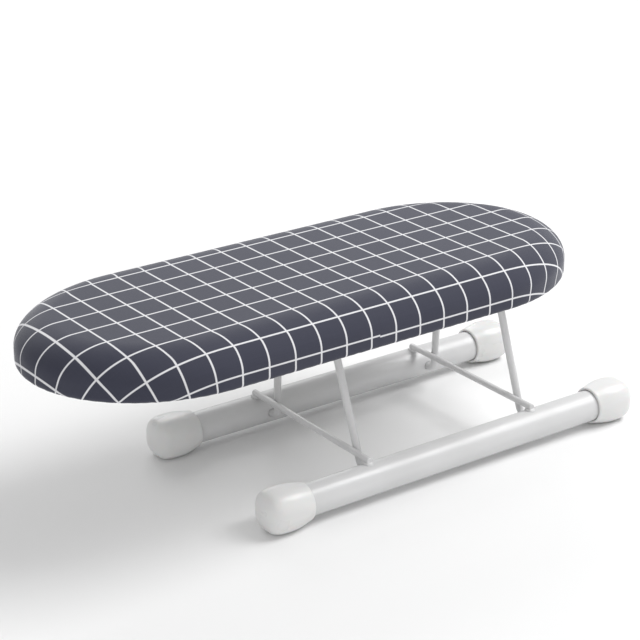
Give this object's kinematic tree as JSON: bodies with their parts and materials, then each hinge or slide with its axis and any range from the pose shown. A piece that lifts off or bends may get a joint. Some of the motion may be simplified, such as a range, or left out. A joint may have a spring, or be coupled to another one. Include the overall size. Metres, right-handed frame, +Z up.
{
  "type": "tabletop ironing board",
  "caption": "Small padded ironing board with a cloth cover on two bent-wire legs that fold down onto a base of two foot tubes.",
  "frame": {"origin": "on the floor under the middle of the whole standing object", "axes": "+X from the free nose to the tail of the board, +Y to the back, +Z up"},
  "size_m": [0.495, 0.1874, 0.1622],
  "materials": {
    "cover_cloth": "woven cotton, slate blue with a thin white windowpane check",
    "elastic_cord": "braided elastic cord",
    "foam": "soft open-cell foam",
    "white_paint": "gloss white powder coat",
    "white_plastic": "moulded plastic with a soft sheen",
    "zinc_steel": "bright zinc plate"
  },
  "bodies": {
    "base": {"front_foot_tube": "white_paint", "front_nose_end_cap": "white_plastic", "front_tail_end_cap": "white_plastic", "back_foot_tube": "white_paint", "back_nose_end_cap": "white_plastic", "back_tail_end_cap": "white_plastic", "nose_cross_rod": "white_paint", "tail_cross_rod": "white_paint"},
    "nose_leg": {"nose_leg_wire": "white_paint"},
    "tail_leg": {"tail_leg_wire": "white_paint"},
    "board": {"fabric_cover": "cover_cloth", "hem_elastic": "elastic_cord", "foam_pad": "foam", "deck_panel": "white_paint", "nose_leg_clip_front": "zinc_steel", "nose_leg_clip_back": "zinc_steel", "nose_clip_rivet_1": "zinc_steel", "nose_clip_rivet_2": "zinc_steel", "nose_clip_rivet_3": "zinc_steel", "nose_clip_rivet_4": "zinc_steel", "tail_leg_clip_front": "zinc_steel", "tail_leg_clip_back": "zinc_steel", "tail_clip_rivet_1": "zinc_steel", "tail_clip_rivet_2": "zinc_steel", "tail_clip_rivet_3": "zinc_steel", "tail_clip_rivet_4": "zinc_steel"}
  },
  "joints": [
    {"name": "nose_leg_fold", "type": "hinge", "parent": "base", "child": "nose_leg", "pos_m": [-0.0029, 0, 0.016], "axis": [0, 1, 0], "range_deg": [0, 80]},
    {"name": "tail_leg_fold", "type": "hinge", "parent": "base", "child": "tail_leg", "pos_m": [0.1566, 0, 0.016], "axis": [0, 1, 0], "range_deg": [0, 80]},
    {"name": "board_level", "type": "hinge", "parent": "nose_leg", "child": "board", "pos_m": [-0.01855, 0, 0.1435], "axis": [0, 1, 0], "range_deg": [-80, 0]}
  ],
  "couplings": [
    {"joint": "tail_leg_fold", "follows": "nose_leg_fold", "ratio": 1},
    {"joint": "board_level", "follows": "nose_leg_fold", "ratio": -1}
  ]
}
